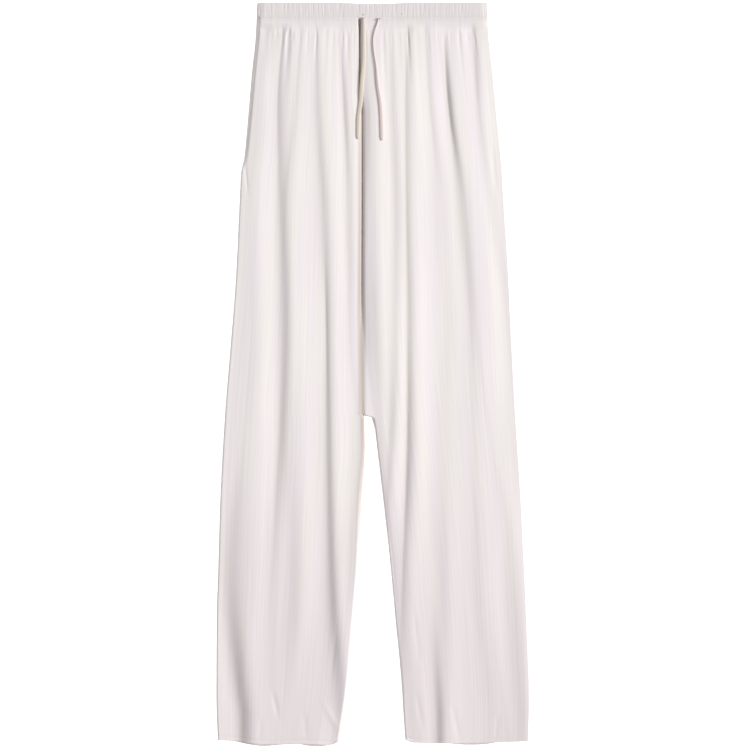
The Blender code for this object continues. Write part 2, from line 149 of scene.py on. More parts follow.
# Short gathers that leave the waistband: where, how far they run down, how deep and how wide they are. Each
# fades in, widens as it runs, and has low shoulders.
gathers = {
    "across": (-149.6, -142, -135.6, -126.4, -120.2, -117.8, -112.7, -111.5, -101.2, -92, -90.8, -85.5,
               -79.1, -65.6, -57.1, -55.5, -50, -42.8, -37.2, -35.3, -32.5, -28.2, -27.3, -10.2, 11.7,
               14.7, 20.8, 27, 34.5, 37.3, 49.4, 61.6, 77.3, 89.9, 91.3, 99.7, 102.5, 108.2, 119.9, 121.5,
               132.1, 134.6, 142.6, 155.8),
    "run": (55.8, 34.2, 24, 30, 28, 72.8, 16, 22, 20, 24, 44.6, 16, 40, 94.2, 97.8, 18, 25.4, 26, 20, 60.9,
            18, 47.5, 16, 50, 30, 95.9, 16, 28, 70.6, 20, 50, 63.1, 30, 24, 16.6, 107.8, 30, 14, 58.2, 26,
            20.5, 20, 34, 35.2),
    "depth": (0.2, 0.7, 0.7, 0.5, 0.7, 1.6, 1.2, 0.3, 0.4, 0.3, 0.4, 0.3, 0.9, 0.5, 0.5, 0.35, 0.3, 0.7,
              0.35, 0.7, 0.4, 0.2, 0.35, 0.9, 0.5, 0.5, 0.3, 0.4, 0.3, 0.25, 1.2, 0.3, 0.5, 0.35, 0.2, 0.6,
              0.6, 0.5, 0.4, 0.5, 0.6, 0.35, 0.8, 0.1),
    "width": (2, 3.4, 2.8, 1, 1, 2.9, 2.2, 1, 1, 1, 3.2, 2.5, 1, 3.5, 3.5, 1, 1.7, 1, 1, 1.9, 1, 1.3, 1, 1,
              1, 1.4, 1, 1, 3.4, 1, 1, 3.5, 1, 1, 1.3, 1.7, 1, 1, 2.4, 1, 2.3, 1, 1, 1.3),
    "starts": 30.0, "startSpread": 8.0, "fadesIn": 18.0, "spread": 0.022,
    "topWidth": 0.55, "widensIn": 20, "shoulder": 0.35, "shoulderWidth": 3,
}

# Short dimples, given one by one: start and end (across, down), depth and width. The first ends the pocket; a
# depth under 0 stands up.
dimples = (
    (-180.5, 225, -176, 267, 0.55, 1.6), (-140.8, 970, -133.7, 1002, 0.5, 3.4),
    (-68, 986, -48, 1020, -0.5, 4.4), (-158, 1008, -160, 1038, 0.3, 3.6), (-97, 1000, -93, 1036, 0.3, 4.2),
    (112, 990, 121, 1034, 0.35, 4), (62, 975, 69, 1018, 0.35, 3.8), (176, 1002, 173, 1036, 0.3, 3.4),
    (58, 860, 66, 930, 0.4, 4), (-52, 890, -60, 950, 0.35, 3.8), (168, 205, 173, 262, 0.35, 3),
)

# The front hem, rolled up and drawn in by its stitches, and the back hem, from each leg's outer edge inwards
hems = {
    "share": (0, 0.12, 0.25, 0.38, 0.5, 0.65, 0.8, 0.93, 1),
    "frontright": (1040, 1040.5, 1042.3, 1044.3, 1044.2, 1043.8, 1044.6, 1045.6, 1041),
    "backright": (1040.5, 1041.5, 1046, 1048.8, 1047, 1045.8, 1049.4, 1047, 1040.5),
    "frontleft": (1039.5, 1041, 1041.6, 1042.2, 1042.6, 1043, 1043.2, 1042.6, 1038.5),
    "backleft": (1039.5, 1042, 1043.4, 1046.6, 1047, 1045, 1044.4, 1043.4, 1038.5),
    "bowStarts": 860, "corner": 1041, "rollUp": 1.4, "rollWidth": 1.6, "rollHeight": 0.7,
    "stitchUp": 4.6, "stitchWidth": 1.4, "stitchSink": 0.6,
}

# The waistband: fine wrinkles, calmer under its stitches, which sink between two puffs. Its upper edge dips
# in the middle and is rolled over. From blendStarts down it eases into the legs' cloth.
band = {
    "wrinklePitch": 3.6, "wrinkleDepth": 0.34, "wrinkleWidth": 1.1, "wrinkleWander": 0.7, "calmShare": 0.3,
    "stitchSink": 0.9, "stitchReach": 2.2, "puff": 0.9, "upperPuff": 0.5, "blendStarts": 27,
    "creaseDepth": 7.4, "creaseWidth": 2.1, "creaseAside": 0.2,
    "dip": 2.6, "backDip": 1.2, "dipX": 4, "dipReach": 34, "edgeRound": 2.4, "rollDrop": 1.1, "corner": 4,
    "wall": 2.2, "frontWall": 1.2, "shift": 0.6, "columns": 640, "turnColumns": 9, "turnWidth": 3.5,
    "rows": 44, "backColumns": 500, "backRows": 12,
}
clothWall = 0.8


def smoothStep(value):
    share = np.clip(value, 0.0, 1.0)
    return share * share * (3 - 2 * share)


def smoothThrough(at, values, place):  # a smooth line through values at rising places, which never overshoots
    at = np.asarray(at, float)
    values = np.asarray(values, float)
    steps = np.diff(at)
    slopes = np.diff(values) / steps
    before, after = slopes[:-1], slopes[1:]
    sameWay = before * after > 0
    joined = 2 * before * after / np.where(sameWay, before + after, 1.0)
    tangents = np.concatenate([slopes[:1], np.where(sameWay, joined, 0.0), slopes[-1:]])
    place = np.clip(place, at[0], at[-1])
    i = np.clip(np.searchsorted(at, place, side="right") - 1, 0, len(steps) - 1)
    t = (place - at[i]) / steps[i]
    start = values[i] * (1 + 2 * t) * (1 - t) ** 2 + tangents[i] * steps[i] * t * (1 - t) ** 2
    end = values[i + 1] * t**2 * (3 - 2 * t) - tangents[i + 1] * steps[i] * t**2 * (1 - t)
    return start + end


def edgeX(edges, side, down):
    return smoothThrough(edges["down"], edges[side], down)


def legSpan(side, down):
    outer, inner = edgeX(sideEdges, side, down), edgeX(innerEdges, side, down)
    return (outer, inner) if side == "right" else (inner, outer)


def foldHeight(x, down):  # all the large folds together, as height over the loft
    height = np.zeros(np.shape(x))
    for fold in folds.values():
        centre = smoothThrough(stations, fold["across"], down)
        depth = smoothThrough(stations, fold["depth"], down)
        soft = smoothThrough(stations, fold["soft"], down)
        away = x - centre
        past = (away + np.sqrt(away**2 + soft**2)) / 2
        high = 1 - np.exp(-past / fold["fall"])
        swell = depth * np.exp(-((away / fold["reach"]) ** 2))
        height += swell * (fold["lip"] * high - fold["dip"] * (1 - high))
    return height


# The short gathers fan out with the cloth: each keeps its share of its leg's width
def gatherHeight(x, down):
    height = np.zeros(np.shape(x))
    rows = zip(gathers["across"], gathers["run"], gathers["depth"], gathers["width"])
    for number, (start, run, depth, wide) in enumerate(rows):
        side = "right" if start < innerEdges["right"][0] else "left"
        topLow, topHigh = legSpan(side, garment["bandHeight"])
        low, high = legSpan(side, down)
        centre = low + (high - low) * (start - topLow) / (topHigh - topLow)
        below = np.maximum(down - gathers["starts"] - gathers["startSpread"] * (number * 0.618 % 1), 0)
        opened = gathers["topWidth"] + (1 - gathers["topWidth"]) * smoothStep(below / gathers["widensIn"])
        width = wide * opened + gathers["spread"] * below
        fade = smoothStep(below / gathers["fadesIn"]) * np.exp(-((below / run) ** 2))
        height -= depth * fade * np.exp(-(((x - centre) / width) ** 2))
        shoulder = np.exp(-(((x - centre) / (width * gathers["shoulderWidth"])) ** 2))
        height += gathers["shoulder"] * depth * fade * shoulder
    return height


def dimpleHeight(x, down):
    height = np.zeros(np.shape(x))
    for startX, startDown, endX, endDown, depth, width in dimples:
        runX, runDown = endX - startX, endDown - startDown
        length = math.hypot(runX, runDown)
        along = ((x - startX) * runX + (down - startDown) * runDown) / length
        aside = ((x - startX) * runDown - (down - startDown) * runX) / length
        beyond = np.maximum(np.abs(along - length / 2) - length / 6, 0) / (length / 3)
        height -= depth * np.exp(-(beyond**2) - (aside / width) ** 2)
    return height


def lieAt(what, down):
    return smoothThrough(lie["down"], lie[what], down)


def edgeDrop(edge, away, down):  # how much lower than the loft the cloth lies near a side or an inner edge
    drop = lieAt("loft", down) - lieAt(f"{edge}Height", down)
    return drop * (1 - smoothStep(away / lieAt(f"{edge}Softening", down)))


def openHeight(side, x, down):  # one leg's cloth before its edges turn down
    low, high = legSpan(side, down)
    outer, inner = (low, high) if side == "right" else (high, low)
    rest = inner if side == "right" else smoothThrough(restLine["down"], restLine["x"], down)
    fromRest = np.clip(rest - x if side == "right" else x - rest, 0, None)
    height = lieAt("loft", down) - edgeDrop("side", np.abs(x - outer), down)
    height = height - edgeDrop("inner", fromRest, down)
    height = height + foldHeight(x, down) * smoothStep(np.abs(x - inner) / lie["calm"])
    return height + gatherHeight(x, down) + dimpleHeight(x, down)


# How the cloth turns in between the legs: low, then shallow just above the crotch. floor is the seam's
# height, the turns are how wide each leg's cloth turns down to it, open is the crease's width, and shade is
# how much painted shade darkens its colour there, with the shade's place and width.
seam = {
    "down": (41, 60, 100, 150, 250, 410, 470, 560, 580, 590, 700, 800),
    "floor": (3.6, 4, 5, 5.6, 6.2, 7.6, 10.4, 10.8, 10, 1.5, 1.5, 1.5),
    "rightTurn": (1.2, 1.2, 1.2, 1.6, 2, 2.4, 5, 6, 4, 1.7, 1.7, 1.7),
    "leftTurn": (3, 3, 3, 3.2, 3.8, 5, 6, 6, 4, 2.2, 2.2, 2.2),
    "softness": (0, 0, 0, 0, 0, 0.3, 0.9, 1, 0.7, 0, 0, 0),
    "open": (1, 1, 1, 0.7, 0.4, 0, 0, 0, 0, 0, 0, 0),
    "shade": (0.85, 0.5, 0.4, 0.45, 0.52, 0.6, 0.6, 0.55, 0.55, 0.6, 0.45, 0.15),
    "shadeAside": (0, 0.3, 1.1, 1.5, 1.8, 2, 1.9, 1.7, 1.7, 2.4, 2.2, 2),
    "shadeWidth": (1.1, 1.5, 2, 2.8, 3.4, 3.7, 3.8, 3.8, 3.8, 3.8, 3.5, 3.2),
    "startsAbove": 2, "startsIn": 5,
}


def seamAt(what, down):
    return smoothThrough(seam["down"], seam[what], down)


# Where an edge turns down, as a share of its full height: round, or a flat slope along the pocket's edge
def edgeTurn(side, away, down):
    rounded = np.sqrt(1 - (1 - np.clip(away / lie[f"{side}Turn"], 0, 1)) ** 2)
    if side == "left":
        return rounded
    flat = 1 - (1 - np.clip(away / pocketEdge["width"], 0, 1)) ** pocketEdge["slope"]
    return rounded + (flat - rounded) * smoothThrough(pocketEdge["down"], pocketEdge["share"], down)


def panelHeight(side, x, down):  # one leg's front cloth, turned down at its side and into the seam
    low, high = legSpan(side, down)
    outer, inner = (low, high) if side == "right" else (high, low)
    top = openHeight(side, x, down)
    innerSeat = np.minimum(seamAt("floor", down), np.maximum(top - lie["sewnDrop"], lie["seat"]))
    fromSeam = np.maximum(np.abs(x - inner) - (seamAt("open", down) if side == "right" else 0), 0)
    turned = np.clip(fromSeam / seamAt(f"{side}Turn", down), 0, 1)
    crisp = np.sqrt(1 - (1 - turned) ** 2)
    seamTurn = crisp + (smoothStep(turned) - crisp) * seamAt("softness", down)
    sideTurn = edgeTurn(side, np.abs(x - outer), down)
    return np.minimum(innerSeat + (top - innerSeat) * seamTurn, lie["seat"] + (top - lie["seat"]) * sideTurn)


def toWorld(x, down, height):
    return np.stack([x * mm, (garment["length"] / 2 - down) * mm, height * mm], axis=-1)


def gridNormals(points):  # the way that each point of a grid faces, turned up
    normals = np.cross(np.gradient(points, axis=1), np.gradient(points, axis=0))
    normals *= np.sign(normals[..., 2:].sum())
    return normals / np.linalg.norm(normals, axis=-1, keepdims=True)


# Its result is the mask of the painted shade in the hollows of the folds
def inHollows(heights, reach):  # how far each point lies below the mean of its row around it, from 0 to 1
    padded = np.pad(heights, ((0, 0), (reach, reach)), mode="edge")
    sums = np.cumsum(np.pad(padded, ((0, 0), (1, 0))), axis=1)
    mean = (sums[:, 2 * reach + 1:] - sums[:, :-2 * reach - 1]) / (2 * reach + 1)
    return np.clip((mean - heights) / lie["hollowDepth"], 0, 1)


# How much painted shade each point gets along the open crease between the legs, from 0 to 1
def creaseShade(x, down):
    middle = edgeX(innerEdges, "right", down) - seamAt("open", down) / 2 - seamAt("shadeAside", down)
    away = np.abs(x - middle) / (seamAt("shadeWidth", down) + seamAt("open", down) / 2)
    started = smoothStep((down - garment["stitchDown"] + seam["startsAbove"]) / seam["startsIn"])
    return seamAt("shade", down) * np.exp(-(away**3)) * started


# A closed thin wall between an outer grid of points and an inner one, with its cloth laid out as its UV map
def makeWall(name, outer, inner, clothMap, hollowShade, crease):
    rows, columns = outer.shape[:2]
    layer = rows * columns
    index = np.arange(layer).reshape(rows, columns)
    corners = (index[:-1, :-1], index[1:, :-1], index[1:, 1:], index[:-1, 1:])
    top = np.stack(corners, axis=-1).reshape(-1, 4)
    bottom = (top + layer)[:, ::-1]
    ring = np.concatenate([index[0], index[1:, -1], index[-1, :-1][::-1], index[1:-1, 0][::-1]])
    after = np.roll(ring, -1)
    rim = np.stack([ring, after, after + layer, ring + layer], axis=-1)
    points = np.concatenate([outer.reshape(-1, 3), inner.reshape(-1, 3)])
    data = bpy.data.meshes.new(name)
    data.from_pydata(points.tolist(), [], np.concatenate([top, bottom, rim]).tolist())
    corner = np.zeros(len(data.loops), np.int32)
    data.loops.foreach_get("vertex_index", corner)
    layout = np.tile(clothMap.reshape(-1, 2), (2, 1))
    data.uv_layers.new(name="cloth").data.foreach_set("uv", layout[corner].astype(np.float32).ravel())
    # The outer face carries the masks of painted shade; the inner face gets none
    for label, values in (("hollowShade", hollowShade), ("crease", crease)):
        shade = np.concatenate([values.ravel(), values.ravel() * 0])
        data.attributes.new(label, "FLOAT", "POINT").data.foreach_set("value", shade.astype(np.float32))
    data.shade_smooth()
    data.set_sharp_from_angle(angle=math.radians(50))
    piece = bpy.data.objects.new(name, data)
    bpy.context.scene.collection.objects.link(piece)
    return piece


# A front leg's grid, finer in the turns of its edges and at the crotch. Its upper edge is tucked under the
# waistband. cutWidth is its cloth's width on the flat map, in metres.
panel = {
    "columns": 158, "turnColumns": 9, "turnWidth": 7.0, "bend": 30, "rows": 250, "crowding": 0.09,
    "crotchRows": (576.5, 592, 1.5), "topTuck": 0.5, "tuckDrop": 0.03, "cutWidth": 0.23, "hollowReach": 6,
}


def panelRows(first, last, count):  # closer together by the waist and the hem
    share = np.linspace(0, 1, count)
    return first + (last - first) * (share - panel["crowding"] * np.sin(2 * math.pi * share))


def panelColumns(low, high, count, turnCount, turn):  # closer together where the edges turn
    edge = turn * (1 - np.cos(np.arange(turnCount) * math.pi / 2 / turnCount))
    middle = np.linspace(low + turn, high - turn, count + 1)
    return np.concatenate([low + edge, middle, (high - edge)[::-1]])


def clothAcross(x, down):  # where a point of the front lies across the flat cloth, in metres
    rightLow, rightHigh = legSpan("right", down)
    leftLow, leftHigh = legSpan("left", down)
    rest = smoothThrough(restLine["down"], restLine["x"], down)
    onRight = (x - rightLow) / (rightHigh - rightLow)
    onLeft = (x - rest) / (leftHigh - rest)
    parting = (rightHigh + leftLow) / 2
    return panel["cutWidth"] * np.where(x <= parting, onRight, 2 + onLeft)


def hemDrop(side, face, share, down):  # how far a hem's bow moves a point down
    reached = smoothStep((down - hems["bowStarts"]) / (hems["corner"] - hems["bowStarts"]))
    fromOuter = share if side == "right" else 1 - share
    return (smoothThrough(hems["share"], hems[face + side], fromOuter) - hems["corner"]) * reached


# One row of a front panel's points in X. The left leg's follow its rest line, and bend to its inner edge
# only near it.
def panelLine(side, down):
    low, high = legSpan(side, down)
    rest = low if side == "right" else smoothThrough(restLine["down"], restLine["x"], down)
    line = panelColumns(rest, high, panel["columns"], panel["turnColumns"], panel["turnWidth"])
    return line + (low - rest) * np.clip(1 - (line - rest) / panel["bend"], 0, 1) ** 2


def hemmedHeight(side, x, down):
    toHem = hems["corner"] - down
    rolled = hems["rollHeight"] * np.exp(-(((toHem - hems["rollUp"]) / hems["rollWidth"]) ** 2))
    drawnIn = hems["stitchSink"] * np.exp(-(((toHem - hems["stitchUp"]) / hems["stitchWidth"]) ** 2))
    return panelHeight(side, x, down) + rolled - drawnIn


def makeFrontPanel(side):
    even = panelRows(garment["bandHeight"], hems["corner"], panel["rows"])
    tucked = [garment["bandHeight"] - panel["topTuck"]]
    downs = np.sort(np.concatenate([tucked, even, np.arange(*panel["crotchRows"])]))
    x = np.stack([panelLine(side, down) for down in downs])
    down = np.repeat(downs[:, None], x.shape[1], axis=1)
    low, high = legSpan(side, down)
    share = (x - low) / (high - low)
    height = hemmedHeight(side, x, down)
    dropped = down + hemDrop(side, "front", share, down)
    outer = toWorld(x, dropped, np.maximum(height, lie["seat"]))
    outer[0, :, 2] -= panel["tuckDrop"] * mm
    inner = outer - gridNormals(outer) * clothWall * mm
    inner[..., 2] = np.maximum(inner[..., 2], np.minimum(outer[..., 2], (lie["seat"] + 0.02) * mm))
    clothMap = np.stack([clothAcross(x, down), down * mm], axis=-1)
    # Painted shade in the hollows of the folds, and along the crease between the legs
    hollows = inHollows(height, panel["hollowReach"])
    return makeWall(f"front_leg_{side}", outer, inner, clothMap, hollows, creaseShade(x, down))


# A back leg lies flat, with the front's low folds pressed a little into both of its faces
backPanel = {"rows": 90, "columns": 61, "wall": 1.45, "pressed": 2, "outside": 0.12, "inside": 0.25,
             "edgeCalm": 12, "hemCalm": 30}


def makeBackPanel(side):
    downs = panelRows(garment["bandHeight"], hems["corner"], backPanel["rows"])
    shares = np.linspace(0, 1, backPanel["columns"])
    down = np.repeat(downs[:, None], len(shares), axis=1)
    low, high = legSpan(side, down)
    share = np.repeat(shares[None, :], len(downs), axis=0)
    x = low + (high - low) * share
    dropped = down + hemDrop(side, "back", share, down)
    edge = np.minimum(share, 1 - share) * (high - low)
    calm = smoothStep(edge / backPanel["edgeCalm"])
    calm = calm * smoothStep((hems["corner"] - down) / backPanel["hemCalm"])
    press = np.clip(-np.minimum(0, foldHeight(x, down)) * calm, 0, backPanel["pressed"])
    outer = toWorld(x, dropped, backPanel["wall"] - press * backPanel["outside"])
    inner = toWorld(x, dropped, press * backPanel["inside"])
    clothMap = np.stack([share * panel["cutWidth"], down * mm], axis=-1)
    plain = np.zeros(x.shape)
    return makeWall(f"back_leg_{side}", outer, inner, clothMap, plain, plain)


def wrinkleHeight(x, down):  # fine upright wrinkles of the elastic waist, uneven in pitch, depth and reach
    rng = np.random.default_rng(7)
    low, high = sideEdges["right"][0], sideEdges["left"][0]
    count = round((high - low) / band["wrinklePitch"])
    gaps = rng.uniform(0.6, 1.4, count)
    lines = low + (high - low) * np.concatenate([[0], np.cumsum(gaps)]) / gaps.sum()
    depths = band["wrinkleDepth"] * rng.uniform(0.25, 1.0, count + 1)
    phases = rng.uniform(0, 2 * math.pi, count + 1)
    height = np.zeros(np.shape(x))
    for line, depth, phase in zip(lines, depths, phases):
        wander = band["wrinkleWander"] * np.sin(down / 8 + phase)
        reach = 0.75 + 0.25 * np.sin(down / 6 + 2 * phase)
        height -= depth * reach * np.exp(-(((x - line - wander) / band["wrinkleWidth"]) ** 2))
    return height


def bandHeight(x, down):
    low, high = edgeX(sideEdges, "right", down), edgeX(sideEdges, "left", down)
    fromSide = np.minimum(x - low, high - x)
    stitchDown, tall = garment["stitchDown"], garment["bandHeight"]
    stitched = band["stitchSink"] * np.exp(-(((down - stitchDown) / band["stitchReach"]) ** 2))
    lower = np.clip((down - stitchDown) / (tall - stitchDown), 0, 1)
    upper = np.clip(down / stitchDown, 0, 1)
    puffed = band["puff"] * np.sin(math.pi * lower) + band["upperPuff"] * np.sin(math.pi * upper)
    top = lieAt("loft", down) - stitched - edgeDrop("side", fromSide, down)
    top = top + puffed * smoothStep(fromSide / 8)
    wrinkled = band["calmShare"] + (1 - band["calmShare"]) * (1 - smoothStep((down - 15) / 10))
    wrinkled = wrinkled * (1 - smoothStep((down - 30) / 10))
    top = top + wrinkleHeight(x, down) * wrinkled * smoothStep(fromSide / 6)
    fromCrease = x - innerEdges["right"][0] + band["creaseAside"]
    inCrease = np.exp(-(np.abs(fromCrease / band["creaseWidth"]) ** 4))
    top = top - band["creaseDepth"] * smoothStep((down - stitchDown + 1) / 5) * inCrease
    seat = band["wall"] + 0.3
    turn = np.where(x < 0, edgeTurn("right", fromSide, down), edgeTurn("left", fromSide, down))
    own = seat + (top - seat) * turn
    join = np.full(np.shape(x), tall)
    legs = np.where(x < innerEdges["right"][0], panelHeight("right", x, join), panelHeight("left", x, join))
    blend = smoothStep((down - band["blendStarts"]) / (tall - band["blendStarts"]))
    gathered = gatherHeight(x, down) - gatherHeight(x, join) * blend
    return np.maximum(own + (legs - own) * blend + gathered * smoothStep(fromSide / 4), seat)


def bandEnds(down):  # the waistband's two ends in X, with its top corners rounded
    corner = band["corner"]
    inset = corner - math.sqrt(corner**2 - max(corner - down, 0) ** 2)
    return edgeX(sideEdges, "right", down) + inset, edgeX(sideEdges, "left", down) - inset


def bandDip(x, down, depth):  # the dip of the upper edge in the middle, which fades towards the lower edge
    near = np.exp(-(((x - band["dipX"]) / band["dipReach"]) ** 2))
    return depth * near * (1 - down / garment["bandHeight"])


def makeFrontBand():
    rounding = band["edgeRound"] * (1 - np.cos(np.linspace(0, math.pi / 2, 6)))
    downs = np.concatenate([rounding, np.linspace(3.2, garment["bandHeight"], band["rows"])])
    grid = (band["columns"], band["turnColumns"], band["turnWidth"])
    x = np.stack([panelColumns(*bandEnds(down), *grid) for down in downs])
    down = np.repeat(downs[:, None], x.shape[1], axis=1)
    rolled = np.sqrt(1 - (1 - np.clip(down / band["edgeRound"], 0, 1)) ** 2)
    height = bandHeight(x, down) - (1 - rolled) * band["rollDrop"]
    outer = toWorld(x, down + bandDip(x, down, band["dip"]) + band["shift"], height)
    outer[-1, :, 1] = (garment["length"] / 2 - garment["bandHeight"]) * mm
    inner = outer - gridNormals(outer) * band["frontWall"] * mm
    inner[..., 2] = np.maximum(inner[..., 2], (band["wall"] + 0.05) * mm)
    clothMap = np.stack([clothAcross(x, np.maximum(down, garment["bandHeight"])), down * mm], axis=-1)
    # The band gets painted shade in its hollows and at the top of the crease
    return makeWall("waist_casing_front", outer, inner, clothMap, inHollows(height, 4), creaseShade(x, down))


def makeBackBand():
    downs = np.linspace(0, garment["bandHeight"] - 0.3, band["backRows"])
    x = np.stack([np.linspace(*bandEnds(down), band["backColumns"]) for down in downs])
    down = np.repeat(downs[:, None], x.shape[1], axis=1)
    calm = smoothStep(np.minimum(x - x[:, :1], x[:, -1:] - x) / 6)
    wrinkled = wrinkleHeight(x, down) * calm
    dipped = down + bandDip(x, down, band["backDip"])
    outer = toWorld(x, dipped, band["wall"] + wrinkled * 0.5)
    inner = toWorld(x, dipped, -wrinkled * 0.35)
    clothMap = np.stack([x * mm, down * mm], axis=-1)
    plain = np.zeros(x.shape)
    return makeWall("waist_casing_back", outer, inner, clothMap, plain, plain)


def clothHeightAt(x, down):  # the height of whatever front cloth lies under a tie
    if down < garment["bandHeight"]:
        return float(bandHeight(np.array(x), np.array(down)))
    side = "right" if x < edgeX(innerEdges, "right", down) else "left"
    return float(panelHeight(side, np.array(x), np.array(down)))


# The drawstring's free ends: flat ties of the same crepe, each with its route, its tilt in degrees and how
# much of its width it keeps. Where a tie tilts past turnedFrom, its side towards -X gets painted shade in
# the crease's shade colour.
ties = {
    "width": 6.0, "thickness": 1.3, "clearance": 0.15, "rings": 48, "sides": 16, "squareness": 0.6,
    "tipTaper": 22, "tipBlunt": 0.08, "turnedFrom": 30, "turnedIn": 28,
    "drawstring_right": {
        "x": (-13.2, -13, -13.1, -14, -15.4, -17, -18.9, -20.6, -21),
        "down": (22.5, 60.5, 82, 95, 110, 138, 152, 166, 193),
        "tilt": (-10, -9, -8, -8, -8, -8, -8, -8, -6),
        "narrow": (0.7, 0.8, 0.85, 0.9, 0.95, 0.98, 0.96, 0.94, 0.9),
    },
    "drawstring_left": {
        "x": (8, 0.1, 0.7, 3.7, 6.5, 9.9, 11.5, 12.7),
        "down": (23.8, 54.6, 67.6, 90, 119, 141, 162, 195.6),
        "tilt": (-55, -55, -50, -30, -12, -8, -6, -4), "narrow": (0.34, 0.3, 0.32, 0.5, 0.72, 0.8, 0.85, 0.9),
    },
}


def makeTie(name):
    tie = ties[name]
    downs = np.linspace(tie["down"][0], tie["down"][-1], ties["rings"])
    across = smoothThrough(tie["down"], tie["x"], downs)
    tilts = np.radians(smoothThrough(tie["down"], tie["tilt"], downs))
    halves = ties["width"] / 2 * smoothThrough(tie["down"], tie["narrow"], downs)
    heights = []
    for x, down, tilt, half in zip(across, downs, tilts, halves):
        reach = half * math.cos(tilt)
        around = [(step, ahead) for step in np.linspace(-reach, reach, 5) for ahead in (-3, 0, 3)]
        under = max(clothHeightAt(x + step, down + ahead) for step, ahead in around)
        lifted = ties["thickness"] / 2 * math.cos(tilt) + half * math.sin(abs(tilt))
        heights.append(under + ties["clearance"] + lifted)
    heights = np.convolve(np.pad(heights, 2, mode="edge"), np.ones(5) / 5, mode="valid")
    centres = toWorld(across, downs, heights)
    along = np.gradient(centres, axis=0)
    along /= np.linalg.norm(along, axis=1, keepdims=True)
    points, shades = [], []
    shares = np.linspace(0, 1, ties["rings"])
    for centre, ahead, tilt, half, share in zip(centres, along, tilts, halves, shares):
        flat = np.cross(ahead, (0, 0, 1.0))
        flat /= np.linalg.norm(flat)
        up = np.cross(flat, ahead)
        wide = flat * math.cos(tilt) + up * math.sin(tilt)
        thick = np.cross(wide, ahead)
        taper = math.sqrt(1 - (1 - min(1.0, ties["tipBlunt"] + ties["tipTaper"] * (1 - share))) ** 2)
        turned = min(1, max(0, abs(math.degrees(tilt)) - ties["turnedFrom"]) / ties["turnedIn"])
        for turn in np.arange(ties["sides"]) * 2 * math.pi / ties["sides"]:
            corner = max(abs(math.cos(turn)), abs(math.sin(turn)))
            aside = math.cos(turn) / corner ** ties["squareness"] * half * taper
            lift = math.sin(turn) * ties["thickness"] / 2
            points.append(centre + (wide * aside + thick * lift) * mm)
            # Painted shade on the side towards -X of a tie turned on edge
            shades.append(turned if math.cos(turn) * flat[0] < 0.3 else 0)
    rings, sides = ties["rings"], ties["sides"]
    faces = [tuple(range(sides)), tuple(reversed(range((rings - 1) * sides, rings * sides)))]
    for ring in range(rings - 1):
        for k in range(sides):
            here, there = ring * sides + k, ring * sides + (k + 1) % sides
            faces.append((here, here + sides, there + sides, there))
    data = bpy.data.meshes.new(name)
    data.from_pydata([tuple(p) for p in points], [], faces)
    data.shade_smooth()
    data.attributes.new("crease", "FLOAT", "POINT").data.foreach_set("value", np.array(shades, np.float32))
    piece = bpy.data.objects.new(f"{name}_tie", data)
    bpy.context.scene.collection.objects.link(piece)
    bpy.context.view_layer.objects.active = piece
    piece.select_set(True)
    bpy.ops.object.mode_set(mode="EDIT")
    bpy.ops.mesh.select_all(action="SELECT")
    bpy.ops.mesh.normals_make_consistent(inside=False)
    bpy.ops.object.mode_set(mode="OBJECT")
    piece.select_set(False)
    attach(piece, "root")
    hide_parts(name)
    return piece


tieNames = ("drawstring_right", "drawstring_left")
tiePieces = [makeTie(name) for name in tieNames]
print("ties made")

frontPanels = {side: makeFrontPanel(side) for side in ("right", "left")}
backPanels = {side: makeBackPanel(side) for side in ("right", "left")}
print("legs made")
frontBand = makeFrontBand()
backBand = makeBackBand()
print("waistband made")

# Lockstitch in matched thread: one stitch is shaped from a small ball and repeated along each row
stitching = {"length": 2.7, "pitch": 3.7, "width": 0.55, "height": 0.5, "bandEnds": (-157, 156), "skip": 4.5,
             "sway": 0.5, "swayLength": 31, "waver": 0.12, "wobble": 0.05, "bandLift": 0.08, "hemLift": 0.1,
             "hemMargin": 4}


def makeOneStitch():
    bpy.ops.mesh.primitive_uv_sphere_add(segments=6, ring_count=4, radius=0.5 * mm, location=(0, 0, 0))
    ball = bpy.context.object
    bpy.ops.object.mode_set(mode="EDIT")
    bpy.ops.mesh.select_all(action="SELECT")
    bpy.ops.transform.resize(value=(stitching["length"], stitching["width"], stitching["height"]))
    bpy.ops.object.mode_set(mode="OBJECT")
    points = np.array([tuple(v.co) for v in ball.data.vertices])
    faces = [tuple(face.vertices) for face in ball.data.polygons]
    bpy.data.objects.remove(ball)
    return points, faces


def makeStitchRow(name, places, turns):
    points, faces = makeOneStitch()
    allPoints, allFaces = [], []
    for place, turn in zip(places, turns):
        first = sum(len(part) for part in allPoints)
        cosine, sine = math.cos(turn), math.sin(turn)
        spun = np.array([[cosine, sine, 0], [-sine, cosine, 0], [0, 0, 1]])
        allPoints.append(points @ spun + place)
        allFaces += [tuple(first + corner for corner in face) for face in faces]
    data = bpy.data.meshes.new(name)
    data.from_pydata(np.concatenate(allPoints).tolist(), [], allFaces)
    data.shade_smooth()
    row = bpy.data.objects.new(name, data)
    bpy.context.scene.collection.objects.link(row)
    return row


def makeBandStitches():
    rng = np.random.default_rng(3)
    exits = [ties[name]["x"][0] for name in tieNames]
    across = np.arange(*stitching["bandEnds"], stitching["pitch"])
    across = np.array([x for x in across if min(abs(x - out) for out in exits) > stitching["skip"]])
    swayed = garment["stitchDown"] + stitching["sway"] * np.sin(across / stitching["swayLength"])
    downs = swayed + rng.normal(0, stitching["waver"], len(across))
    places = toWorld(across, downs, bandHeight(across, downs) + stitching["bandLift"])
    return makeStitchRow("waist_stitches", places, rng.normal(0, stitching["wobble"], len(across)))


